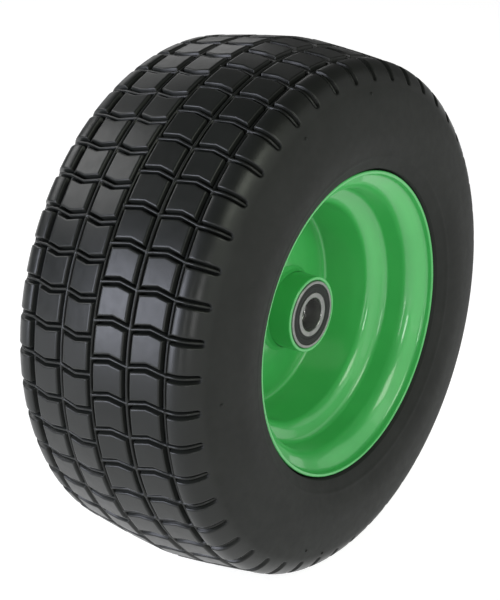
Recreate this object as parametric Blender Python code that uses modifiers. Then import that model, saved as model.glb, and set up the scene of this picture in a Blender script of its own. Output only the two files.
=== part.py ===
"""Flat-free turf wheel: a solid tyre on a two-half pressed steel rim, with a welded hub tube that
runs on two sealed ball bearings.

The wheel turns about the world Y axis, its centre is the origin and its front face looks along -Y.
Every turned piece is drawn as an outline of (radius, distance along the axle) and swept with a
Screw modifier. Lengths are in metres.
"""

import math

import bpy

MM = 0.001

# Driving dimensions
TYRE_RADIUS = 203.0 * MM            # a 16 inch outside diameter
TREAD_SLOPE = 0.0757                # fall of the crown from its centre line, per metre of width
TREAD_CURVE = 0.63                  # extra fall, per square metre of width
TREAD_DEPTH = 6.0 * MM
TREAD_GROOVES = ((-3.9 * MM, 3.9 * MM), (25.4 * MM, 33.8 * MM), (55.2 * MM, 62.6 * MM))
GROOVE_DRAFT = 0.8 * MM             # each groove wall leans in by this much at its floor
SHOULDER_START = 62.6 * MM
SIDEWALL_HALF_WIDTH = 92.0 * MM
SIDEWALL_POWER = 2.3
SIDEWALL_BASE_RADIUS = 109.0 * MM
SIDEWALL_TUCK = 7.3 * MM
SIDEWALL_TUCK_RADIUS = 150.0 * MM
SIDEWALL_HEIGHTS = (1.0, 0.97, 0.92, 0.84, 0.72, 0.56, 0.42, 0.28, 0.17)   # shares of the drop
TYRE_HEEL_RADIUS = 119.5 * MM
TYRE_HEEL = ((TYRE_HEEL_RADIUS, 84.6 * MM), (118.1 * MM, 80.8 * MM))
TYRE_SEAT_REACH = (51.2 * MM, 78.7 * MM)    # the part of the rim seat that the tyre sits on

SHEET = 2.6 * MM                    # rim steel
LIP_HALF_WIDTH = 82.2 * MM
LIP_RADIUS = 113.6 * MM             # inner side of the rolled lip
SEAT_RADIUS = 98.8 * MM
WELL_RADIUS = 80.9 * MM
SEAM_WELD_REACH = 2.6 * MM          # half width of the bead that joins the rim halves
HUB_WELD_REACH = 3.8 * MM
HUB_HALF_LENGTH = 45.4 * MM
HUB_RADIUS = 29.25 * MM
HUB_BORE_RADIUS = 23.4 * MM
HUB_CHAMFER = 1.2 * MM
DISC_FOOT = 22.8 * MM               # where the dished disc meets the hub tube

AXLE_RADIUS = 12.7 * MM             # a 1 inch axle
BEARING_RADIUS = 26.0 * MM
BEARING_WIDTH = 15.0 * MM
BEARING_FACE = 46.0 * MM            # outer face of each bearing, from the wheel's centre
INNER_SHOULDER = 16.85 * MM
OUTER_SHOULDER = 21.7 * MM
SEAL_SEAT_RADIUS = 23.7 * MM
SEAL_SEAT_DEPTH = 1.7 * MM
BEARING_EDGE = 0.6 * MM             # chamfer on the races
SEAL_DEPTHS = (1.2 * MM, 1.0 * MM, 0.6 * MM, 0.5 * MM, 0.3 * MM)   # below the bearing's face
SEAL_CROWN = 3.2 * MM               # from the seal's lip out to its raised middle
PITCH_RADIUS = 19.25 * MM
BALL_RADIUS = 3.97 * MM
BALL_COUNT = 9
RACEWAY_RADIUS = BALL_RADIUS + 0.3 * MM
RACEWAY_STEPS = 5
CAGE_RADII = (17.8 * MM, 20.7 * MM)
CAGE_HALF_WIDTH = 5.4 * MM
POCKET_RADIUS = BALL_RADIUS + 0.45 * MM
POCKET_DEPTH = 8.0 * MM
POCKET_SIDES = 12
SPACER_RADII = (12.9 * MM, 16.2 * MM)

GAP = 0.3 * MM                      # kept between pieces that touch
BIG_STEPS = 40                      # facets round the tyre, rim and hub
SMALL_STEPS = 24                    # facets round the bearing pieces
CAGE_STEPS = 27
CORNER_STEPS = 2
MERGE = 0.00001
LIE_ALONG_Y = (-math.pi / 2, 0.0, 0.0)


def clear_scene():
    for item in list(bpy.data.objects):
        bpy.data.objects.remove(item, do_unlink=True)


def collection(name):
    made = bpy.data.collections.new(name)
    bpy.context.scene.collection.children.link(made)
    return made


def material(name, colour, roughness, metallic):
    made = bpy.data.materials.new(name)
    made.use_nodes = True
    shader = made.node_tree.nodes["Principled BSDF"]
    shader.inputs["Base Color"].default_value = (*colour, 1.0)
    shader.inputs["Roughness"].default_value = roughness
    shader.inputs["Metallic"].default_value = metallic
    return made


def rounded(corners, steps=CORNER_STEPS):
    """A path through corners (radius, along, fillet), each sharp corner replaced by its arc."""
    path = []
    for index, (radius, along, fillet) in enumerate(corners):
        if fillet <= 0.0 or index in (0, len(corners) - 1):
            path.append((radius, along))
            continue
        before, after = corners[index - 1], corners[index + 1]
        way_in = (before[0] - radius, before[1] - along)
        way_out = (after[0] - radius, after[1] - along)
        length_in, length_out = math.hypot(*way_in), math.hypot(*way_out)
        way_in = (way_in[0] / length_in, way_in[1] / length_in)
        way_out = (way_out[0] / length_out, way_out[1] / length_out)
        half = 0.5 * math.acos(way_in[0] * way_out[0] + way_in[1] * way_out[1])
        middle = (way_in[0] + way_out[0], way_in[1] + way_out[1])
        reach = fillet / math.sin(half) / math.hypot(*middle)
        centre = (radius + middle[0] * reach, along + middle[1] * reach)
        tangent = fillet / math.tan(half)
        start = math.atan2(along + way_in[1] * tangent - centre[1],
                           radius + way_in[0] * tangent - centre[0])
        end = math.atan2(along + way_out[1] * tangent - centre[1],
                         radius + way_out[0] * tangent - centre[0])
        turn = (end - start + math.pi) % (2 * math.pi) - math.pi
        for step in range(steps + 1):
            angle = start + turn * step / steps
            path.append((centre[0] + fillet * math.cos(angle), centre[1] + fillet * math.sin(angle)))
    return path


def beside(path, distance):
    """The path moved sideways by distance, to the left of its direction, with mitred corners."""
    moved = []
    for index, (radius, along) in enumerate(path):
        back = path[max(index - 1, 0)]
        ahead = path[min(index + 1, len(path) - 1)]
        first = math.atan2(along - back[1], radius - back[0]) if index else None
        last = math.atan2(ahead[1] - along, ahead[0] - radius) if index < len(path) - 1 else first
        first = last if first is None else first
        bend = (last - first + math.pi) % (2 * math.pi) - math.pi
        normal = first + bend / 2 + math.pi / 2
        reach = distance / math.cos(bend / 2)
        moved.append((radius + reach * math.cos(normal), along + reach * math.sin(normal)))
    return moved


def mirrored(path):
    return [(radius, -along) for radius, along in reversed(path)]


def turned(name, outline, finish, home, steps):
    """A ring: the closed outline swept once round the axle."""
    area = sum(a[0] * b[1] - b[0] * a[1] for a, b in zip(outline, outline[1:] + outline[:1]))
    points = outline[::-1] if area > 0 else outline
    mesh = bpy.data.meshes.new(name)
    loop = [(index, (index + 1) % len(points)) for index in range(len(points))]
    mesh.from_pydata([(radius, 0.0, along) for radius, along in points], loop, [])
    ring = bpy.data.objects.new(name, mesh)
    ring.rotation_euler = LIE_ALONG_Y
    ring.data.materials.append(finish)
    screw = ring.modifiers.new("turn", "SCREW")
    screw.axis = "Z"
    screw.angle = 2 * math.pi
    screw.steps = steps
    screw.render_steps = steps
    screw.use_merge_vertices = True
    screw.merge_threshold = MERGE
    screw.use_smooth_shade = True
    home.objects.link(ring)
    return ring


def tread_radius(along):
    return TYRE_RADIUS - TREAD_SLOPE * abs(along) - TREAD_CURVE * along ** 2


def sidewall_path():
    """From the edge of the outer groove, over the shoulder and down to the heel beside the rim."""
    top = tread_radius(SHOULDER_START)
    drop = top - SIDEWALL_BASE_RADIUS
    bulge = SIDEWALL_HALF_WIDTH - SHOULDER_START
    path = []
    for height in SIDEWALL_HEIGHTS:
        radius = SIDEWALL_BASE_RADIUS + drop * height
        along = SHOULDER_START + bulge * (1.0 - height ** SIDEWALL_POWER) ** (1.0 / SIDEWALL_POWER)
        tuck = max(SIDEWALL_TUCK_RADIUS - radius, 0.0) / (SIDEWALL_TUCK_RADIUS - TYRE_HEEL_RADIUS)
        path.append((radius, along - SIDEWALL_TUCK * tuck ** 2))
    return path


def rim_face():
    """Visible face of one rim half, from its rolled lip down to the hole for the hub tube."""
    flange_foot = LIP_HALF_WIDTH - 12.7 * MM
    return rounded([
        (LIP_RADIUS, LIP_HALF_WIDTH, 0.0),
        (LIP_RADIUS - 0.3 * MM, LIP_HALF_WIDTH - 4.9 * MM, 3.5 * MM),
        (SEAT_RADIUS + 1.3 * MM, flange_foot, 6.0 * MM),
        (SEAT_RADIUS, LIP_HALF_WIDTH - 34.0 * MM, 4.0 * MM),
        (WELL_RADIUS + 3.4 * MM, LIP_HALF_WIDTH - 39.2 * MM, 6.0 * MM),
        (WELL_RADIUS, SHEET + GAP / 2, 3.0 * MM),
        (WELL_RADIUS - 8.5 * MM, SHEET + GAP / 2, 8.0 * MM),
        (HUB_RADIUS + GAP, DISC_FOOT, 0.0),
    ])


def tyre_outline():
    """Half of the tyre's section from its centre groove to its bore, then the mirrored half."""
    outer = []
    for low, high in TREAD_GROOVES:
        floor = tread_radius((low + high) / 2) - TREAD_DEPTH
        if low > 0.0:
            outer += [(tread_radius(low), low), (floor, low + GROOVE_DRAFT)]
        outer += [(floor, high - GROOVE_DRAFT), (tread_radius(high), high)]
    outer = outer[:-1] + sidewall_path()
    seat = [point for point in beside(rim_face(), SHEET + GAP)
            if TYRE_SEAT_REACH[0] < point[1] < TYRE_SEAT_REACH[1]]
    half = outer + list(TYRE_HEEL) + seat
    return mirrored(half) + half


def rim_outline():
    """The sheet between the visible face and its offset, trimmed to the hub hole."""
    face = rim_face()
    back = beside(face, SHEET)
    (far_radius, far_along), (near_radius, near_along) = back[-2:]
    hole = HUB_RADIUS + GAP
    share = (far_radius - hole) / (far_radius - near_radius)
    back[-1] = (hole, far_along + share * (near_along - far_along))
    return face + back[::-1]


def hub_outline():
    """Tube with a bearing seat bored into each end."""
    shoulder = BEARING_FACE - BEARING_WIDTH - GAP
    half = [
        (HUB_BORE_RADIUS, shoulder), (BEARING_RADIUS + GAP, shoulder),
        (BEARING_RADIUS + GAP, HUB_HALF_LENGTH - BEARING_EDGE),
        (BEARING_RADIUS + GAP + BEARING_EDGE, HUB_HALF_LENGTH),
        (HUB_RADIUS - HUB_CHAMFER, HUB_HALF_LENGTH),
        (HUB_RADIUS, HUB_HALF_LENGTH - HUB_CHAMFER),
    ]
    return mirrored(half) + half


def raceway(shoulder):
    """The ball groove across a race, from one shoulder edge to the other."""
    reach = math.acos(abs(shoulder - PITCH_RADIUS) / RACEWAY_RADIUS)
    sign = 1 if shoulder > PITCH_RADIUS else -1
    angles = [reach * (1 - 2 * step / RACEWAY_STEPS) for step in range(RACEWAY_STEPS + 1)]
    return [(PITCH_RADIUS + sign * RACEWAY_RADIUS * math.cos(angle), RACEWAY_RADIUS * math.sin(angle))
            for angle in angles]


def bearing_outlines():
    """Sections of a bearing's two races and of one seal, about the bearing's own middle."""
    half = BEARING_WIDTH / 2
    floor = half - SEAL_SEAT_DEPTH
    outer = [(BEARING_RADIUS, BEARING_EDGE - half), (BEARING_RADIUS, half - BEARING_EDGE),
             (BEARING_RADIUS - BEARING_EDGE, half), (SEAL_SEAT_RADIUS, half),
             (SEAL_SEAT_RADIUS, floor), (OUTER_SHOULDER, floor)]
    outer += raceway(OUTER_SHOULDER)
    outer += [(OUTER_SHOULDER, -floor), (SEAL_SEAT_RADIUS, -floor),
              (SEAL_SEAT_RADIUS, -half), (BEARING_RADIUS - BEARING_EDGE, -half)]
    inner = [(AXLE_RADIUS, BEARING_EDGE - half), (AXLE_RADIUS, half - BEARING_EDGE),
             (AXLE_RADIUS + BEARING_EDGE, half), (INNER_SHOULDER, half)]
    inner += raceway(INNER_SHOULDER)
    inner += [(INNER_SHOULDER, -half), (AXLE_RADIUS + BEARING_EDGE, -half)]
    lip, rim = INNER_SHOULDER + 0.55 * MM, SEAL_SEAT_RADIUS - GAP
    back, lip_back, lip_front, rim_front, crown = (half - depth for depth in SEAL_DEPTHS)
    seal = [(lip, lip_back), (rim, back), (rim, rim_front), (lip + SEAL_CROWN, crown), (lip, lip_front)]
    return outer, inner, seal


def shifted(section, middle, flip=1):
    return [(radius, middle + flip * along) for radius, along in section]


def add_balls(end, side, finish, home):
    middle = side * (BEARING_FACE - BEARING_WIDTH / 2)
    for index in range(BALL_COUNT):
        angle = math.pi / 2 + 2 * math.pi * index / BALL_COUNT
        place = (PITCH_RADIUS * math.cos(angle), middle, PITCH_RADIUS * math.sin(angle))
        bpy.ops.mesh.primitive_ico_sphere_add(subdivisions=2, radius=BALL_RADIUS, location=place)
        ball = bpy.context.object
        ball.name = f"ball_{end}_{index + 1}"
        ball.data.name = ball.name
        ball.data.shade_smooth()
        ball.data.materials.append(finish)
        for owner in list(ball.users_collection):
            owner.objects.unlink(ball)
        home.objects.link(ball)


def add_cage(end, side, finish, home, tools):
    """A ring with a round pocket for each ball."""
    middle = side * (BEARING_FACE - BEARING_WIDTH / 2)
    (low, high), reach = CAGE_RADII, CAGE_HALF_WIDTH
    outline = [(low, middle - reach), (high, middle - reach), (high, middle + reach), (low, middle + reach)]
    cage = turned(f"cage_{end}", outline, finish, home, CAGE_STEPS)
    for index in range(BALL_COUNT):
        angle = math.pi / 2 + 2 * math.pi * index / BALL_COUNT
        place = (PITCH_RADIUS * math.cos(angle), middle, PITCH_RADIUS * math.sin(angle))
        bpy.ops.mesh.primitive_cylinder_add(
            vertices=POCKET_SIDES, radius=POCKET_RADIUS, depth=POCKET_DEPTH,
            location=place, rotation=(0.0, math.pi / 2 - angle, 0.0))
        cutter = bpy.context.object
        cutter.name = f"pocket_cutter_{end}_{index + 1}"
        cutter.hide_render = True
        cutter.display_type = "WIRE"
        for owner in list(cutter.users_collection):
            owner.objects.unlink(cutter)
        tools.objects.link(cutter)
        pocket = cage.modifiers.new(f"pocket_{index + 1}", "BOOLEAN")
        pocket.operation = "DIFFERENCE"
        pocket.solver = "EXACT"
        pocket.object = cutter


def build():
    clear_scene()
    wheel = collection("turf_wheel")
    tools = collection("cutters")
    rubber = material("tyre_rubber", (0.028, 0.029, 0.028), 0.62, 0.0)
    green = material("green_enamel", (0.045, 0.33, 0.068), 0.22, 0.0)
    race_steel = material("race_steel", (0.42, 0.42, 0.40), 0.28, 1.0)
    ball_steel = material("ball_steel", (0.62, 0.62, 0.62), 0.12, 1.0)
    cage_steel = material("cage_steel", (0.48, 0.45, 0.40), 0.4, 1.0)
    spacer_steel = material("spacer_steel", (0.24, 0.24, 0.23), 0.45, 1.0)
    seal_rubber = material("seal_rubber", (0.03, 0.032, 0.03), 0.55, 0.0)

    turned("tyre", tyre_outline(), rubber, wheel, BIG_STEPS)
    turned("hub_tube", hub_outline(), green, wheel, BIG_STEPS)

    well_back = WELL_RADIUS + SHEET
    turned("rim_seam_weld", [
        (well_back - 2.4 * MM, -0.4 * MM), (well_back - 0.1 * MM, -SEAM_WELD_REACH),
        (well_back + 1.1 * MM, 0.0), (well_back - 0.1 * MM, SEAM_WELD_REACH),
        (well_back - 2.4 * MM, 0.4 * MM),
    ], green, wheel, BIG_STEPS)

    outer, inner, seal = bearing_outlines()
    weld = [(HUB_RADIUS + GAP, 0.0), (HUB_RADIUS + 4.0 * MM, -1.3 * MM),
            (HUB_RADIUS + 2.1 * MM, 1.6 * MM), (HUB_RADIUS + GAP, HUB_WELD_REACH)]
    for end, side in (("front", -1), ("rear", 1)):
        middle = side * (BEARING_FACE - BEARING_WIDTH / 2)
        turned(f"rim_{end}_half", shifted(rim_outline(), 0.0, side), green, wheel, BIG_STEPS)
        turned(f"hub_weld_{end}", shifted(weld, side * (DISC_FOOT + GAP), side), green, wheel, BIG_STEPS)
        turned(f"outer_race_{end}", shifted(outer, middle), race_steel, wheel, SMALL_STEPS)
        turned(f"inner_race_{end}", shifted(inner, middle), race_steel, wheel, SMALL_STEPS)
        turned(f"outer_seal_{end}", shifted(seal, middle, side), seal_rubber, wheel, SMALL_STEPS)
        turned(f"inner_seal_{end}", shifted(seal, middle, -side), seal_rubber, wheel, SMALL_STEPS)
        add_cage(end, side, cage_steel, wheel, tools)
        add_balls(end, side, ball_steel, wheel)

    reach = BEARING_FACE - BEARING_WIDTH - GAP
    low, high = SPACER_RADII
    turned("bearing_spacer", [(low, -reach), (high, -reach), (high, reach), (low, reach)],
           spacer_steel, wheel, SMALL_STEPS)


build()
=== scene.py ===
"""Studio picture of the flat-free turf wheel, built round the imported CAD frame.

The axle is the world Y axis, the wheel's centre is the origin and its front face looks along -Y.
Sections are drawn as (radius, distance along the axle) and swept round the axle. Angles round the
wheel start at the top and grow towards +X. Lengths are in metres.
"""

import math

import bpy
import numpy as np
from mathutils import Matrix, Vector


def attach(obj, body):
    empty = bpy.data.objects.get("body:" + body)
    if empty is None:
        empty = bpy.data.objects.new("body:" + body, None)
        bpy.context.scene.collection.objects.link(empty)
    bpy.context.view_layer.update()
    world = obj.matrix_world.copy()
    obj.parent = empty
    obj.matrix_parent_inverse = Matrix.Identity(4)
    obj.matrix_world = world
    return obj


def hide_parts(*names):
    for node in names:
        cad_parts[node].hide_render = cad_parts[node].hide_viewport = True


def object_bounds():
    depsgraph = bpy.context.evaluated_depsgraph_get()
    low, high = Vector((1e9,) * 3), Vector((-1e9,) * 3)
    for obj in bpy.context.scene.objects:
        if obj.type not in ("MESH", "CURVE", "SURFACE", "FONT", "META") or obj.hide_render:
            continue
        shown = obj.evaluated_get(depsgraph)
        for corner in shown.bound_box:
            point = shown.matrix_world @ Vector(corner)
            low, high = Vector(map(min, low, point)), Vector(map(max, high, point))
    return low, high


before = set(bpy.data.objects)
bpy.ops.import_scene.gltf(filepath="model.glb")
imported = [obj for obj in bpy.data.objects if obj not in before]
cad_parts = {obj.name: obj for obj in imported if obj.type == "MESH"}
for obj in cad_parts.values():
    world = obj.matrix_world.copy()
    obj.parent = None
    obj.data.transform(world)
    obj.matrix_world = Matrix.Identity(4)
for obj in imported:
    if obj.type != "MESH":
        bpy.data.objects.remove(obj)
cad_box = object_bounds()

MM = 0.001
MITRE_LIMIT = 0.3                   # keeps an offset corner from running out to a spike
RIM_STEPS = 192                     # faces round the axle
HUB_STEPS = 128
BEARING_STEPS = 112
SPACER_STEPS = 96

# Tread pattern
PITCHES = 47
PITCH = 2 * math.pi / PITCHES
SAME_PHASE = 0.2 * PITCH            # rings closer in phase than this are joined column by column
TREAD_RADIUS = 203.0 * MM
TREAD_SLOPE = 0.0757
TREAD_CURVE = 0.63
RING_GROOVES = (                    # length along the section to the centre, and half width
    (0.0, 3.9 * MM),
    (29.6 * MM, 4.2 * MM),
    (58.9 * MM, 3.7 * MM),
)
CROSS_HALF_WIDTH = 4.2 * MM
FRONT_PHASE = 0.038 * PITCH          # where the cross grooves of each half begin
REAR_PHASE = -0.396 * PITCH
CREST = math.radians(0.89)          # how far a cross groove swings to the side in each block row
CREST_PLACES = (0.0, 15.2 * MM, 30.0 * MM, 45.3 * MM, 60.0 * MM)
CREST_SHARES = (0.0, 1.0, 0.0, 1.0, 0.0)
WALL_INSETS = (0.0, 0.6 * MM, 1.05 * MM, 1.4 * MM)     # from a groove's edge towards its middle
WALL_DEPTHS = (0.0, 0.25 * MM, 0.95 * MM, 6.6 * MM)
FLOOR_INSET = 2.1 * MM
FLOOR_DEPTH = 7.2 * MM
RIDGE_OFFSETS = (0.0, 1.0 * MM, 1.5 * MM)               # half of a ridge's rounded section
RIDGE_DEPTHS = (1.15 * MM, 1.75 * MM, 7.2 * MM)         # below the block tops
OUTER_RIDGE_DROP = 1.5 * MM         # how much lower the ridges beside the shoulders are
BLOCK_RIM = 0.7 * MM                # flat strip kept along the edge of a block's top
SHOULDER_GROOVE_END = 181.3 * MM    # radius where the shoulder grooves stop
SHOULDER_GROOVE_DEPTH = 5.0 * MM
SHOULDER_RINGS = 7                  # rings of points from the outer groove to the rounded ends
SHOULDER_FIRST_RING = 65.2 * MM
ROUND_END_SHARES = (0.3, 0.55, 0.72, 0.86, 0.94, 1.0)
ROUND_END_MARGIN = 0.9 * MM
CLOSED_PINCH = 0.45                 # how far the columns draw together past a groove's end
NORMAL_REACH = 1.2 * MM             # half the length over which an outward normal is measured

# Sidewall
SHOULDER_START = 62.6 * MM
SIDEWALL_HALF_WIDTH = 92.0 * MM
SIDEWALL_POWER = 2.3
SIDEWALL_BASE_RADIUS = 109.0 * MM
SIDEWALL_TUCK = 7.3 * MM
SIDEWALL_TUCK_RADIUS = 150.0 * MM
SIDEWALL_TUCK_SPAN = 30.5 * MM
HEEL_RADIUS = 118.1 * MM
HEEL_FOOT = (117.5 * MM, 78.6 * MM)         # where the tyre turns in behind the rim's lip
MOULD_LINE = (127.5 * MM, 1.5 * MM, 0.4 * MM)       # radius, half width and height of a raised line
FINE_RADII = (131.0, 118.0, 0.85)           # from, to and step of the close rings, in mm
COARSE_STEP = 3.2 * MM                      # length between the sidewall's other rings
COARSE_START = 3.0 * MM
COARSE_END_RADIUS = 132.0 * MM
SEAT_REACH = (31.0 * MM, 3.5 * MM)          # the tyre follows the rim between these, from its lip
VENT_PIPS = ((5, 174), (-23, 173), (-91, 167), (-159, 172), (-168, 178))    # degrees, radius in mm
PIP_PROFILE = ((1.25, -0.4), (1.15, 0.45), (0.75, 0.85), (0.25, 1.0))        # radius, height in mm
PIP_SIDES = 12

# Rim and hub
GAP = 0.3 * MM                      # kept between pieces that touch
SHEET = 2.6 * MM
LIP_HALF_WIDTH = 82.2 * MM
LIP_RADIUS = 113.6 * MM
SEAT_RADIUS = 98.8 * MM
WELL_RADIUS = 80.9 * MM
HUB_HALF_LENGTH = 45.4 * MM
HUB_RADIUS = 29.25 * MM
DISC_FOOT = 22.8 * MM               # where the dished disc meets the hub tube
RIM_CORNERS = (                     # radius, distance along the axle and fillet of the visible face
    (LIP_RADIUS, LIP_HALF_WIDTH, 0.0),
    (LIP_RADIUS - 0.3 * MM, LIP_HALF_WIDTH - 4.9 * MM, 4.5 * MM),
    (SEAT_RADIUS + 1.3 * MM, LIP_HALF_WIDTH - 12.7 * MM, 14.0 * MM),
    (SEAT_RADIUS, LIP_HALF_WIDTH - 34.0 * MM, 5.5 * MM),
    (WELL_RADIUS + 3.4 * MM, LIP_HALF_WIDTH - 39.2 * MM, 9.0 * MM),
    (WELL_RADIUS, SHEET + GAP / 2, 2.5 * MM),
    (WELL_RADIUS - 4.0 * MM, SHEET + GAP / 2, 2.0 * MM),
    (HUB_RADIUS + GAP, DISC_FOOT, 0.0),
)
HUB_WELD_CORNERS = (                # beyond the hub tube, beyond the disc's foot, and fillet
    (GAP, 0.0, 0.0),
    (4.0 * MM, -1.3 * MM, 0.0),
    (1.6 * MM, 1.0 * MM, 2.5 * MM),
    (GAP, 3.8 * MM, 0.0),
)
WELD_RIPPLES = 86
WELD_RIPPLE_HEIGHT = 0.12 * MM
WELD_RIPPLE_REACH = 3.0 * MM
SEAM_CORNERS = (                    # beyond the well's back, distance from the middle plane
    (-2.4 * MM, -0.4 * MM),
    (-0.1 * MM, -2.6 * MM),
    (0.8 * MM, -1.3 * MM),
    (1.1 * MM, 0.0),
    (0.8 * MM, 1.3 * MM),
    (-0.1 * MM, 2.6 * MM),
    (-2.4 * MM, 0.4 * MM),
)
HUB_BORE_RADIUS = 23.4 * MM         # of the step that the bearings sit against
HUB_MOUTH_DEPTH = 0.7 * MM          # chamfer at each end of the bore
HUB_MOUTH_REACH = 1.1 * MM
HUB_EDGE = 1.0 * MM
HUB_END = 6.0 * MM                  # length of the barrel's own ring of faces at each end

# Bearings
AXLE_RADIUS = 12.7 * MM
BEARING_RADIUS = 26.0 * MM
BEARING_WIDTH = 15.0 * MM
BEARING_FACE = 46.0 * MM
INNER_SHOULDER = 16.85 * MM
OUTER_SHOULDER = 21.7 * MM
INNER_SHOULDER_HALF = 3.6 * MM              # half width of the raceway cut in the inner ring
SEAL_SEAT_RADIUS = 23.7 * MM
SEAL_SEAT_DEPTH = 1.7 * MM
SEAL_LIP = INNER_SHOULDER + 0.2 * MM
SEAL_EDGE = SEAL_SEAT_RADIUS - GAP
SEAL_SECTION = (                            # radius, depth below the rings' face and fillet
    (SEAL_LIP, 1.2 * MM, 0.0),
    (SEAL_EDGE, 1.2 * MM, 0.0),
    (SEAL_EDGE, 0.35 * MM, 0.3 * MM),
    (SEAL_EDGE - 1.6 * MM, 0.45 * MM, 0.4 * MM),
    (SEAL_EDGE - 2.0 * MM, 0.2 * MM, 0.4 * MM),
    (SEAL_LIP + 2.4 * MM, 0.2 * MM, 0.4 * MM),
    (SEAL_LIP + 1.5 * MM, 0.75 * MM, 0.3 * MM),
    (SEAL_LIP, 0.6 * MM, 0.0),
)
RING_EDGE = 0.7 * MM                        # fillets on the outer and the inner ring
BORE_EDGE = 1.2 * MM
OUTER_RACEWAY = (                           # the groove that the balls run in
    (23.45 * MM, -1.6 * MM),
    (23.6 * MM, 0.0),
    (23.45 * MM, 1.6 * MM),
    (21.9 * MM, 3.2 * MM),
)
OUTER_RACEWAY_EDGE = (21.9 * MM, -3.2 * MM)
INNER_RACEWAY = ((15.2 * MM, 1.6 * MM), (14.98 * MM, 0.0), (15.2 * MM, -1.6 * MM))
SPACER_RADII = (AXLE_RADIUS + 0.2 * MM, 16.2 * MM)

# Finishes: each pair of shades (linear colours) or roughness runs from a noise's low to its high
NOISE_LOW, NOISE_HIGH = 0.3, 0.7            # nearly all values of a noise lie between these
RUBBER_SHADES = ((0.0080, 0.0088, 0.0080), (0.0115, 0.0125, 0.0115))
RUBBER_ROUGHNESS = (0.28, 0.38)
MATTE_EXTRA = 0.34                          # roughness added to the sidewall
MATTE_RADII = (178.0 * MM, 188.0 * MM)      # where it begins to fade and where it has gone
ENAMEL_SHADES = ((0.043, 0.358, 0.079), (0.049, 0.388, 0.087))
ENAMEL_ROUGHNESS = (0.29, 0.33)
SEAL_SHADES = ((0.010, 0.011, 0.011), (0.015, 0.016, 0.016))
SEAL_ROUGHNESS = (0.42, 0.6)
FLOOR_SHADES = ((0.33, 0.33, 0.33), (0.35, 0.35, 0.35))
FLOOR_ROUGHNESS = (0.7, 0.8)
TOOL_LINE = 0.12 * MM                       # width of the circular tool lines on the steel
BORE_POLISH = 0.55                          # share of the roughness left in the bores
BORE_POLISH_RADII = (AXLE_RADIUS + 0.3 * MM, AXLE_RADIUS + 0.9 * MM)

# Studio
FLOOR_HALF_SIZE = 6.0
FLOOR_GLOW = 0.88
AIR_STRENGTH = 0.12
SOFTBOXES = (                       # name, place, width, height, watts and colour; all aim at the hub
    ("left_softbox", (-1.47, 0.66, 0.30), 0.62, 0.95, 26.0, (0.84, 0.87, 1.0)),
    ("strip_softbox", (-1.45, -0.50, 0.18), 0.12, 0.9, 2.4, (1.0, 1.0, 1.0)),
    ("back_softbox", (-0.50, 1.60, 1.15), 1.2, 0.8, 14.0, (1.0, 1.0, 1.0)),
    ("far_softbox", (1.10, 1.50, 0.90), 1.2, 0.9, 4.0, (1.0, 1.0, 1.0)),
    ("top_softbox", (-0.15, -1.50, 1.10), 0.9, 0.7, 11.0, (0.94, 1.0, 0.86)),
    ("right_softbox", (1.50, -1.70, 0.80), 2.2, 1.4, 6.0, (1.0, 1.0, 1.0)),
    ("front_softbox", (0.15, -2.40, 0.10), 2.0, 2.0, 11.5, (0.93, 1.0, 0.88)),
    ("shoulder_softbox", (-1.25, -1.50, 0.34), 0.22, 0.6, 6.5, (1.0, 1.0, 1.0)),
)
CAMERA_PLACE = (-1.0707, -0.7689, 0.5085)
CAMERA_RIGHT = (0.589, -0.808, 0.0)         # towards the picture's right
CAMERA_BACK = (-0.754, -0.550, 0.359)       # against the view
CAMERA_LENS = 110.8                         # mm, on a sensor of 36 mm
CAMERA_SENSOR = 36.0


# ---------------------------------------------------------------- geometry helpers

def rounded(corners, steps=8):
    """A path through corners (radius, along, fillet), each sharp corner replaced by its arc."""
    path = []
    for index, (radius, along, fillet) in enumerate(corners):
        if fillet <= 0.0 or index in (0, len(corners) - 1):
            path.append((radius, along))
            continue
        corner = Vector((radius, along))
        way_in = (Vector(corners[index - 1][:2]) - corner).normalized()
        way_out = (Vector(corners[index + 1][:2]) - corner).normalized()
        half = 0.5 * math.acos(way_in.dot(way_out))
        centre = corner + (way_in + way_out).normalized() * (fillet / math.sin(half))
        tangent = fillet / math.tan(half)
        first = corner + way_in * tangent - centre
        last = corner + way_out * tangent - centre
        start = math.atan2(first.y, first.x)
        turn = (math.atan2(last.y, last.x) - start + math.pi) % (2 * math.pi) - math.pi
        for step in range(steps + 1):
            angle = start + turn * step / steps
            path.append((centre.x + fillet * math.cos(angle), centre.y + fillet * math.sin(angle)))
    return path


def beside(path, distance):
    """The path moved to the left of its direction, with mitred corners."""
    points = [Vector(point) for point in path]
    moved = []
    for index, point in enumerate(points):
        way_in = (point - points[index - 1]).normalized() if index else None
        way_out = (points[index + 1] - point).normalized() if index < len(points) - 1 else way_in
        way_in = way_in or way_out
        middle = (way_in + way_out).normalized()
        reach = distance / max(middle.dot(way_out), MITRE_LIMIT)
        moved.append((point.x - middle.y * reach, point.y + middle.x * reach))
    return moved


def mirrored(path):
    return [(radius, -along) for radius, along in reversed(path)]


def wheel_point(radius, along, angle):
    return (radius * math.sin(angle), along, radius * math.cos(angle))


def finish_mesh(name, points, faces, finish, sharp):
    """A smooth-shaded piece, with edges kept sharp where they turn more than sharp degrees."""
    mesh = bpy.data.meshes.new(name)
    mesh.from_pydata(points, [], faces)
    mesh.shade_smooth()
    mesh.set_sharp_from_angle(angle=math.radians(sharp))
    mesh.validate()
    mesh.update()
    piece = bpy.data.objects.new(name, mesh)
    piece.data.materials.append(finish)
    bpy.context.scene.collection.objects.link(piece)
    return piece


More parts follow.
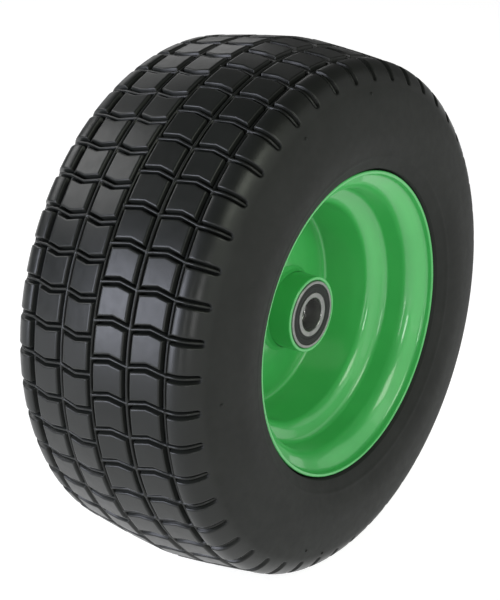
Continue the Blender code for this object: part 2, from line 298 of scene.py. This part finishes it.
def turned(name, outline, finish, steps=160, sharp=32.0, ripple=None):
    """A ring swept from a closed outline; ripple(radius, along, angle) moves a point outwards."""
    area = sum(a[0] * b[1] - b[0] * a[1] for a, b in zip(outline, outline[1:] + outline[:1]))
    section = outline[::-1] if area > 0 else outline
    count = len(section)
    points, faces = [], []
    for step in range(steps):
        angle = 2 * math.pi * step / steps
        for index, (radius, along) in enumerate(section):
            extra = ripple(radius, along, angle) if ripple else 0.0
            points.append(wheel_point(radius + extra, along, angle))
        after = (step + 1) % steps
        for index in range(count):
            ahead = (index + 1) % count
            faces.append((step * count + index, step * count + ahead,
                          after * count + ahead, after * count + index))
    return finish_mesh(name, points, faces, finish, sharp)


def place(piece, body, slot, *nodes):
    """Hangs the piece under the empty of the body that moves it and hides the CAD nodes it stands
    for; the slot argument is not used.
    """
    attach(piece, body)
    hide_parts(*nodes)
    return piece


# ---------------------------------------------------------------- tyre

def tread_radius(along):
    return TREAD_RADIUS - TREAD_SLOPE * abs(along) - TREAD_CURVE * along ** 2


def half_section():
    """Length along the outside of one half, from the centre line to the heel, with its points."""
    crown = [(tread_radius(y), y) for y in np.linspace(0.0, SHOULDER_START, 60)]
    top = tread_radius(SHOULDER_START)
    side = []
    for turn in np.linspace(0.0, math.pi / 2, 500)[1:]:
        height = math.cos(turn) ** (2 / SIDEWALL_POWER)
        radius = SIDEWALL_BASE_RADIUS + (top - SIDEWALL_BASE_RADIUS) * height
        bulge = (SIDEWALL_HALF_WIDTH - SHOULDER_START) * math.sin(turn) ** (2 / SIDEWALL_POWER)
        tuck = max(SIDEWALL_TUCK_RADIUS - radius, 0.0) / SIDEWALL_TUCK_SPAN
        if radius >= HEEL_RADIUS:
            side.append((radius, SHOULDER_START + bulge - SIDEWALL_TUCK * tuck ** 2))
    points = np.array(crown + side)
    lengths = np.concatenate(([0.0], np.cumsum(np.hypot(*np.diff(points, axis=0).T))))
    return lengths, points


SECTION_LENGTHS, SECTION_POINTS = half_section()
HEEL_LENGTH = SECTION_LENGTHS[-1]


def length_at_radius(radius):
    outer = SECTION_POINTS[:, 1] > SHOULDER_START
    return float(np.interp(-radius, -SECTION_POINTS[outer, 0], SECTION_LENGTHS[outer]))


def section_at(length):
    """Point and outward normal of the half section at a length from the centre line."""
    def point(at):
        at = min(max(at, 0.0), HEEL_LENGTH)
        return np.array([np.interp(at, SECTION_LENGTHS, SECTION_POINTS[:, 0]),
                         np.interp(at, SECTION_LENGTHS, SECTION_POINTS[:, 1])])
    along = point(length + NORMAL_REACH) - point(length - NORMAL_REACH)
    along /= np.hypot(*along)
    return point(length), np.array([along[1], -along[0]])


def wall_depth(inset):
    """Depth below the block tops at a distance in from a groove's edge."""
    return np.interp(inset, WALL_INSETS + (FLOOR_INSET,), WALL_DEPTHS + (FLOOR_DEPTH,))


def ridge_depth(offset):
    """Depth of the narrow ridge that runs down the middle of every groove."""
    return np.interp(np.abs(offset), RIDGE_OFFSETS, RIDGE_DEPTHS)


def groove_stations(half_width):
    """Offsets across a groove at which the mesh has an edge."""
    side = [half_width - inset for inset in WALL_INSETS] + list(RIDGE_OFFSETS[:0:-1])
    return [-offset for offset in side] + [0.0] + side[::-1]


CROSS_END_LENGTH = length_at_radius(SHOULDER_GROOVE_END)
CROSS_ROUND_LENGTH = CROSS_END_LENGTH - CROSS_HALF_WIDTH
COLUMN_OFFSETS = groove_stations(CROSS_HALF_WIDTH)
PITCH_LENGTH = PITCH * TREAD_RADIUS
BLOCK_COLUMNS = [CROSS_HALF_WIDTH + BLOCK_RIM, 0.5 * PITCH_LENGTH,
                 PITCH_LENGTH - CROSS_HALF_WIDTH - BLOCK_RIM]
COARSE_COLUMNS = (0, 6, 12, 14)     # which of one pitch's columns go on down the sidewall


def tread_lengths():
    """Lengths along the half section where the tread mesh has a ring of points."""
    lengths = []
    for centre, half_width in RING_GROOVES:
        lengths += [centre + offset for offset in groove_stations(half_width)]
    for (low, low_half), (high, high_half) in zip(RING_GROOVES, RING_GROOVES[1:]):
        lengths += [low + low_half + BLOCK_RIM, high - high_half - BLOCK_RIM]
    lengths += [CREST_PLACES[1], CREST_PLACES[3]]
    lengths += list(np.linspace(SHOULDER_FIRST_RING, CROSS_ROUND_LENGTH, SHOULDER_RINGS))
    lengths += [CROSS_ROUND_LENGTH + CROSS_HALF_WIDTH * share for share in ROUND_END_SHARES]
    lengths.append(CROSS_END_LENGTH + ROUND_END_MARGIN)
    return sorted(length for length in lengths if length >= 0.0)


def tread_ring(length, side):
    """Angles and depths of one ring of tread points."""
    past = max(length - CROSS_ROUND_LENGTH, 0.0)
    pinch = math.sqrt(max(1.0 - (past / CROSS_HALF_WIDTH) ** 2, 0.02))
    if length > CROSS_END_LENGTH:
        pinch = CLOSED_PINCH
    swing = CREST * float(np.interp(length, CREST_PLACES, CREST_SHARES))
    phase = FRONT_PHASE + swing if side < 0 else REAR_PHASE - swing
    offsets = np.array([offset * pinch for offset in COLUMN_OFFSETS] + BLOCK_COLUMNS)
    cross = wall_depth(CROSS_HALF_WIDTH - np.hypot(offsets, past))
    if length > SHOULDER_START:
        shallow = SHOULDER_GROOVE_DEPTH / FLOOR_DEPTH
        cross = cross * np.interp(length, (SHOULDER_START, CROSS_ROUND_LENGTH), (1.0, shallow))
    ring, ring_ridge = 0.0, FLOOR_DEPTH
    for index, (centre, half_width) in enumerate(RING_GROOVES):
        drop = OUTER_RIDGE_DROP if index == len(RING_GROOVES) - 1 else 0.0
        ring = max(ring, float(wall_depth(half_width - abs(length - centre))))
        ring_ridge = min(ring_ridge, float(ridge_depth(length - centre)) + drop)
    depths = np.minimum(np.maximum(cross, ring), np.minimum(ridge_depth(offsets), ring_ridge))
    angles = phase + offsets / TREAD_RADIUS
    turns = PITCH * np.arange(PITCHES)
    return (turns[:, None] + angles[None, :]).ravel(), np.tile(depths, PITCHES)


def zipper(first, first_angles, second, second_angles):
    """Triangles between two closed rings of points that have their own angles."""
    shift = int(np.argmin(np.abs(second_angles - first_angles[0])))
    b_angles = np.concatenate((second_angles[shift:], second_angles[:shift] + 2 * math.pi))
    b_points = list(second[shift:]) + list(second[:shift])
    a_angles, a_points = list(first_angles), list(first)
    a_count, b_count = len(a_points), len(b_points)
    faces, a, b = [], 0, 0
    while a < a_count or b < b_count:
        next_a = a_angles[a + 1] if a + 1 < a_count else a_angles[0] + 2 * math.pi
        next_b = b_angles[b + 1] if b + 1 < b_count else b_angles[0] + 2 * math.pi
        if b >= b_count or (a < a_count and next_a <= next_b):
            faces.append((a_points[a], a_points[(a + 1) % a_count], b_points[b % b_count]))
            a += 1
        else:
            faces.append((a_points[a % a_count], b_points[(b + 1) % b_count], b_points[b]))
            b += 1
    return faces


def mould_line_height(radius):
    """Height of the raised moulding line on the sidewall at a radius."""
    centre, half_width, height = MOULD_LINE
    return height * math.exp(-((radius - centre) / half_width) ** 2)


def sidewall_lengths(tread_end):
    """Lengths along the half section where the sidewall mesh has a ring of points."""
    coarse_end = length_at_radius(COARSE_END_RADIUS)
    lengths = list(np.arange(tread_end + COARSE_START, coarse_end, COARSE_STEP))
    first, last, step = FINE_RADII
    lengths += [length_at_radius(radius * MM) for radius in np.arange(first, last, -step)]
    return lengths + [HEEL_LENGTH]


def tyre_bore():
    """Points of the tyre's inner side, which follows the rim at a small gap."""
    inner, outer = (LIP_HALF_WIDTH - reach for reach in SEAT_REACH)
    seat = beside(rim_face(3), SHEET + GAP)
    return [HEEL_FOOT] + [point for point in seat if inner < point[1] < outer]


def tyre_half(side):
    """Base point, normal, angles and depths of each ring of one half, from its middle to its bore."""
    columns = len(COLUMN_OFFSETS) + len(BLOCK_COLUMNS)
    coarse = [pitch * columns + column for pitch in range(PITCHES) for column in COARSE_COLUMNS]
    tread = tread_lengths()
    half = []
    for length in tread if side < 0 else tread[1:]:         # the centre ring belongs to the front
        half.append((*section_at(length), *tread_ring(length, side)))
    angles = half[-1][2][coarse]
    for length in sidewall_lengths(tread[-1]):
        base, normal = section_at(length)
        half.append((base, normal, angles, np.full(len(coarse), -mould_line_height(base[0]))))
    for base in tyre_bore():
        half.append((base, (0.0, 0.0), angles, np.zeros(len(coarse))))
    return half


def tyre_faces(rings):
    """Faces from each ring of points to the next, and from the last back to the first."""
    faces = []
    for index, (ring, angles) in enumerate(rings):
        after, after_angles = rings[(index + 1) % len(rings)]
        if len(ring) == len(after) and abs(angles[0] - after_angles[0]) < SAME_PHASE:
            for column in range(len(ring)):
                ahead = (column + 1) % len(ring)
                faces.append((ring[column], ring[ahead], after[ahead], after[column]))
        else:
            faces += zipper(ring, angles, after, after_angles)
    return faces


def add_tyre(finish):
    """The tyre with its tread, as one closed skin."""
    rings, points = [], []
    for side in (-1, 1):
        for base, normal, angles, depths in tyre_half(side)[::side]:    # front bore to rear bore
            start = len(points)
            for angle, depth in zip(angles, depths):
                radius = base[0] - normal[0] * depth
                along = base[1] - normal[1] * depth
                points.append(wheel_point(radius, side * along, angle))
            rings.append((range(start, len(points)), angles))
    tyre = finish_mesh("moulded_tyre", points, tyre_faces(rings), finish, sharp=70.0)
    place(tyre, "wheel", "tyre_rubber", "tyre")


def add_vent_pips(finish):
    """The small nubs that the mould's vents leave on both sidewalls."""
    points, faces = [], []
    for side in (-1, 1):
        for degrees, radius in VENT_PIPS:
            angle = math.radians(degrees)
            base, normal = section_at(length_at_radius(radius * MM))
            around = Vector((math.cos(angle), 0.0, -math.sin(angle)))
            out = Vector(wheel_point(normal[0], side * normal[1], angle))
            across = out.cross(around)
            foot = Vector(wheel_point(base[0], side * base[1], angle))
            start = len(points)
            for reach, height in PIP_PROFILE:
                for step in range(PIP_SIDES):
                    turn = 2 * math.pi * step / PIP_SIDES
                    offset = around * math.cos(turn) + across * math.sin(turn)
                    points.append(foot + (offset * reach + out * height) * MM)
            for level in range(len(PIP_PROFILE) - 1):
                for step in range(PIP_SIDES):
                    low = start + level * PIP_SIDES
                    ahead = (step + 1) % PIP_SIDES
                    high = low + PIP_SIDES
                    faces.append((low + step, low + ahead, high + ahead, high + step))
            top = start + (len(PIP_PROFILE) - 1) * PIP_SIDES
            faces.append(tuple(range(start, start + PIP_SIDES))[::-1])
            faces.append(tuple(range(top, top + PIP_SIDES)))
    pips = finish_mesh("sidewall_vent_pips", points, faces, finish, sharp=60.0)
    place(pips, "wheel", "tyre_rubber", "tyre")


# ---------------------------------------------------------------- rim and hub

def rim_face(steps=8):
    """Visible face of one rim half, from its rolled lip down to the hole for the hub tube."""
    return rounded(RIM_CORNERS, steps)


def rim_outline():
    """The sheet between the visible face and its offset, with a rounded lip."""
    face = rim_face()
    back = beside(face, SHEET)
    back[-1] = (HUB_RADIUS + GAP, back[-1][1])
    half_sheet = 0.5 * SHEET
    lip_height = 0.6 * half_sheet
    lip = []
    for turn in np.linspace(math.pi, 0.0, 9):
        radius = LIP_RADIUS + half_sheet * (1.0 - math.cos(turn))
        lip.append((radius, LIP_HALF_WIDTH - lip_height * (1.0 - math.sin(turn))))
    return face[1:] + back[:0:-1] + lip


def weld_ripple(radius, along, angle):
    """Height of the ripples on a hub weld, which fade out towards the tube."""
    share = min(max((radius - HUB_RADIUS - GAP) / WELD_RIPPLE_REACH, 0.0), 1.0)
    return WELD_RIPPLE_HEIGHT * share * math.sin(WELD_RIPPLES * angle)


def add_rim_half(end, side, finish):
    """One pressed half and the bead that welds its disc to the hub tube."""
    outline = [(radius, side * along) for radius, along in rim_outline()]
    half = turned(f"{end}_rim_pressing", outline, finish, steps=RIM_STEPS, sharp=40.0)
    place(half, "wheel", "green_enamel", f"rim_{end}_half")

    toe = DISC_FOOT + GAP
    bead = rounded([(HUB_RADIUS + reach, side * (toe + along), fillet)
                    for reach, along, fillet in HUB_WELD_CORNERS], 5)
    weld = turned(f"{end}_hub_weld_bead", bead, finish,
                  steps=4 * WELD_RIPPLES, sharp=50.0, ripple=weld_ripple)
    place(weld, "wheel", "green_enamel", f"hub_weld_{end}")


def add_seam(finish):
    """The bead that joins the two rim halves at the back of the well."""
    outline = [(WELL_RADIUS + SHEET + reach, along) for reach, along in SEAM_CORNERS]
    place(turned("rim_seam_bead", outline, finish), "wheel", "green_enamel", "rim_seam_weld")


def add_hub(finish):
    """The hub tube, with a step in its bore behind each bearing."""
    step = BEARING_FACE - BEARING_WIDTH - GAP
    half = rounded([
        (HUB_BORE_RADIUS, step, 0.0),
        (BEARING_RADIUS + GAP, step, 0.0),
        (BEARING_RADIUS + GAP, HUB_HALF_LENGTH - HUB_MOUTH_DEPTH, 0.0),
        (BEARING_RADIUS + HUB_MOUTH_REACH, HUB_HALF_LENGTH, 0.3 * MM),
        (HUB_RADIUS, HUB_HALF_LENGTH, HUB_EDGE),
        (HUB_RADIUS, HUB_HALF_LENGTH - HUB_END, 0.0),
    ], 4)
    hub = turned("hub_barrel", mirrored(half) + half, finish, steps=HUB_STEPS, sharp=40.0)
    place(hub, "wheel", "green_enamel", "hub_tube")


# ---------------------------------------------------------------- bearings

def add_bearing(end, side, steel, rubber):
    """The rings and the two seals of one bearing; its balls and cage are the CAD's own nodes."""
    middle = side * (BEARING_FACE - BEARING_WIDTH / 2)
    half = BEARING_WIDTH / 2

    def ring(name, section, finish, body, slot, node, flip=1):
        outline = [(radius, middle + flip * along) for radius, along in section]
        return place(turned(name, outline, finish, steps=BEARING_STEPS, sharp=38.0), body, slot, node)

    seat = half - SEAL_SEAT_DEPTH
    outer = rounded([
        (OUTER_SHOULDER, seat, 0.0),
        (SEAL_SEAT_RADIUS, seat, 0.0),
        (SEAL_SEAT_RADIUS, half, 0.25 * MM),
        (BEARING_RADIUS, half, RING_EDGE),
        (BEARING_RADIUS, 0.0, 0.0),
    ], 4)[:-1]
    ring(f"{end}_outer_ring", list(OUTER_RACEWAY) + outer + mirrored(outer) + [OUTER_RACEWAY_EDGE],
         steel, "wheel", "race_steel", f"outer_race_{end}")

    inner = rounded([
        (AXLE_RADIUS, 0.0, 0.0),
        (AXLE_RADIUS, half, BORE_EDGE),
        (INNER_SHOULDER, half, 0.3 * MM),
        (INNER_SHOULDER, INNER_SHOULDER_HALF, 0.0),
    ], 4)[1:]
    ring(f"{end}_inner_ring", inner + list(INNER_RACEWAY) + mirrored(inner),
         steel, "axle_sleeve", "race_steel", f"inner_race_{end}")

    seal = rounded([(radius, half - depth, fillet) for radius, depth, fillet in SEAL_SECTION], 3)
    ring(f"{end}_face_seal", seal, rubber, "wheel", "seal_rubber", f"outer_seal_{end}", side)
    ring(f"{end}_back_seal", seal, rubber, "wheel", "seal_rubber", f"inner_seal_{end}", -side)


def add_spacer(finish):
    """The sleeve that keeps the two inner rings apart."""
    end = BEARING_FACE - BEARING_WIDTH - GAP
    inside, outside = SPACER_RADII
    half = rounded([
        (outside, 0.0, 0.0),
        (outside, end, 0.4 * MM),
        (inside, end, 0.4 * MM),
        (inside, 0.0, 0.0),
    ], 3)[1:-1]
    spacer = turned("axle_spacer_sleeve", half + mirrored(half), finish, steps=SPACER_STEPS)
    place(spacer, "axle_sleeve", "spacer_steel", "bearing_spacer")


# ---------------------------------------------------------------- materials

class Shader:
    """A few short calls for building one node material."""

    def __init__(self, name, **values):
        self.material = bpy.data.materials.new(name)
        self.material.use_nodes = True
        self.tree = self.material.node_tree
        self.principled = self.tree.nodes["Principled BSDF"]
        for key, value in values.items():
            self.principled.inputs[key.replace("_", " ")].default_value = value
        self.position = self.tree.nodes.new("ShaderNodeTexCoord").outputs["Object"]

    def link(self, source, target):
        self.tree.links.new(source, target)

    def node(self, kind, inputs=(), **settings):
        made = self.tree.nodes.new("ShaderNode" + kind)
        for key, value in settings.items():
            setattr(made, key, value)
        for key, value in dict(inputs).items():
            if isinstance(value, bpy.types.NodeSocket):
                self.link(value, made.inputs[key])
            else:
                made.inputs[key].default_value = value
        return made

    def noise(self, size, detail=3.0, rough=0.55, vector=None):
        made = self.node("TexNoise", {"Vector": vector or self.position, "Scale": 1.0 / size,
                                      "Detail": detail, "Roughness": rough})
        return made.outputs["Fac"]

    def between(self, value, low, high, start=NOISE_LOW, end=NOISE_HIGH):
        made = self.node("MapRange", {"Value": value, "From Min": start, "From Max": end,
                                      "To Min": low, "To Max": high})
        return made.outputs["Result"]

    def shades(self, value, colours):
        """Colour that runs from the first to the second colour with a noise's value."""
        made = self.node("ValToRGB", {"Fac": value})
        places = (NOISE_LOW, NOISE_HIGH)
        for element, at, colour in zip(made.color_ramp.elements, places, colours):
            element.position = at
            element.color = (*colour, 1.0)
        return made.outputs["Color"]

    def math(self, operation, first, second=0.0):
        return self.node("Math", {0: first, 1: second}, operation=operation).outputs[0]

    def bump(self, height, distance, strength=1.0, normal=None):
        inputs = {"Height": height, "Distance": distance, "Strength": strength}
        if normal:
            inputs["Normal"] = normal
        return self.node("Bump", inputs).outputs["Normal"]

    def axle_radius(self):
        """Distance of the shaded point from the axle."""
        apart = self.node("SeparateXYZ", {"Vector": self.position}).outputs
        square = self.math("ADD", self.math("MULTIPLY", apart["X"], apart["X"]),
                           self.math("MULTIPLY", apart["Z"], apart["Z"]))
        return self.math("SQRT", square)

    def use(self, **sockets):
        for key, value in sockets.items():
            self.link(value, self.principled.inputs[key.replace("_", " ")])
        return self.material


def tyre_rubber():
    shader = Shader("moulded_rubber", Specular_IOR_Level=0.25)
    cloud = shader.noise(38 * MM, 4.0)
    grain = shader.noise(0.9 * MM, 3.0)
    swirl = shader.noise(7 * MM, 3.0)
    colour = shader.shades(cloud, RUBBER_SHADES)
    wear = shader.math("ADD", swirl, shader.math("MULTIPLY", grain, 0.4))
    matte = shader.between(shader.axle_radius(), MATTE_EXTRA, 0.0, *MATTE_RADII)
    roughness = shader.math("ADD", shader.between(wear, *RUBBER_ROUGHNESS, 0.4, 1.0), matte)
    fine = shader.bump(grain, 0.05 * MM, 0.6)
    normal = shader.bump(swirl, 0.18 * MM, 0.35, fine)
    return shader.use(Base_Color=colour, Roughness=roughness, Normal=normal)


def green_enamel():
    shader = Shader("green_enamel", Coat_Weight=0.6, Coat_Roughness=0.07, Coat_IOR=1.5)
    cloud = shader.noise(30 * MM, 3.0)
    flake = shader.noise(2.4 * MM, 0.0)
    colour = shader.shades(cloud, ENAMEL_SHADES)
    roughness = shader.between(flake, *ENAMEL_ROUGHNESS, 0.0, 1.0)
    peel = shader.bump(flake, 0.005 * MM, 0.2)
    wave = shader.bump(shader.noise(14 * MM, 2.0), 0.10 * MM, 0.3, peel)
    shader.link(wave, shader.principled.inputs["Coat Normal"])
    return shader.use(Base_Color=colour, Roughness=roughness, Normal=wave)


def turned_steel(name, dark, light, rough, metal=1.0):
    """Ground steel with fine circular tool lines and a smoother bore."""
    shader = Shader(name, Metallic=metal)
    radius = shader.axle_radius()
    rings = shader.node("CombineXYZ", {"X": radius, "Y": 0.0, "Z": 0.0}).outputs["Vector"]
    lines = shader.noise(TOOL_LINE, 2.0, 0.6, rings)
    cloud = shader.noise(5 * MM, 3.0)
    colour = shader.shades(cloud, ((dark,) * 3, (light, light, light * 0.97)))
    polish = shader.between(radius, BORE_POLISH, 1.0, *BORE_POLISH_RADII)
    ground = shader.between(lines, rough - 0.06, rough + 0.10)
    roughness = shader.math("MULTIPLY", ground, polish)
    normal = shader.bump(lines, 0.01 * MM, 0.5)
    return shader.use(Base_Color=colour, Roughness=roughness, Normal=normal)


def seal_rubber():
    shader = Shader("seal_rubber", Specular_IOR_Level=0.22)
    grain = shader.noise(0.5 * MM, 3.0)
    colour = shader.shades(shader.noise(6 * MM, 3.0), SEAL_SHADES)
    roughness = shader.between(grain, *SEAL_ROUGHNESS)
    normal = shader.bump(grain, 0.03 * MM, 0.5)
    return shader.use(Base_Color=colour, Roughness=roughness, Normal=normal)


def floor_finish():
    shader = Shader("studio_floor", Emission_Color=(1.0, 1.0, 1.0, 1.0), Emission_Strength=FLOOR_GLOW)
    colour = shader.shades(shader.noise(0.4, 3.0), FLOOR_SHADES)
    roughness = shader.between(shader.noise(0.05), *FLOOR_ROUGHNESS)
    return shader.use(Base_Color=colour, Roughness=roughness)


# ---------------------------------------------------------------- studio

def add_softbox(name, location, width, height, watts, colour):
    lamp = bpy.data.lights.new(name, "AREA")
    lamp.shape = "RECTANGLE"
    lamp.size, lamp.size_y = width, height
    lamp.energy = watts
    lamp.color = colour
    softbox = bpy.data.objects.new(name, lamp)
    softbox.location = location
    softbox.rotation_mode = "QUATERNION"
    softbox.rotation_quaternion = (-softbox.location).to_track_quat("-Z", "Y")
    bpy.context.scene.collection.objects.link(softbox)


def add_floor():
    level, reach = cad_box[0].z, FLOOR_HALF_SIZE
    corners = [(-reach, -reach, level), (reach, -reach, level),
               (reach, reach, level), (-reach, reach, level)]
    mesh = bpy.data.meshes.new("studio_floor")
    mesh.from_pydata(corners, [], [(0, 1, 2, 3)])
    mesh.materials.append(floor_finish())
    floor = bpy.data.objects.new("studio_floor", mesh)
    bpy.context.scene.collection.objects.link(floor)


def add_studio():
    add_floor()
    world = bpy.data.worlds.new("studio_air")
    bpy.context.scene.world = world
    world.use_nodes = True
    air = world.node_tree.nodes["Background"].inputs
    air["Color"].default_value = (1.0, 1.0, 1.0, 1.0)
    air["Strength"].default_value = AIR_STRENGTH
    for softbox in SOFTBOXES:
        add_softbox(*softbox)


def add_camera():
    right = Vector(CAMERA_RIGHT).normalized()
    back = Vector(CAMERA_BACK).normalized()
    up = back.cross(right).normalized()
    right = up.cross(back)
    lens = bpy.data.cameras.new("camera")
    lens.lens = CAMERA_LENS
    lens.sensor_width = CAMERA_SENSOR
    lens.clip_start, lens.clip_end = 0.05, 50.0
    camera = bpy.data.objects.new("camera", lens)
    turn = Matrix((right, up, back)).transposed().to_4x4()
    camera.matrix_world = Matrix.Translation(CAMERA_PLACE) @ turn
    bpy.context.scene.collection.objects.link(camera)
    bpy.context.scene.camera = camera


def dress_cad_nodes():
    """Materials for the bearing pieces that stay as the CAD made them."""
    ball = turned_steel("polished_ball_steel", 0.55, 0.62, 0.14)
    cage = turned_steel("pressed_cage_steel", 0.34, 0.42, 0.38)
    for name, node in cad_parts.items():
        if name.startswith("ball_") or name.startswith("cage_"):
            node.data.materials.clear()
            node.data.materials.append(ball if name.startswith("ball_") else cage)
            for face in node.data.polygons:
                face.material_index = 0


def build():
    rubber = tyre_rubber()
    green = green_enamel()
    race = turned_steel("ground_race_steel", 0.20, 0.27, 0.33, metal=0.7)
    sleeve = turned_steel("drawn_tube_steel", 0.45, 0.58, 0.40)
    lip_rubber = seal_rubber()
    add_camera()
    add_studio()
    add_tyre(rubber)
    add_vent_pips(rubber)
    for end, side in (("front", -1), ("rear", 1)):
        add_rim_half(end, side, green)
    add_seam(green)
    add_hub(green)
    for end, side in (("front", -1), ("rear", 1)):
        add_bearing(end, side, race, lip_rubber)
    add_spacer(sleeve)
    dress_cad_nodes()
    bpy.context.scene.view_settings.view_transform = "Standard"


build()
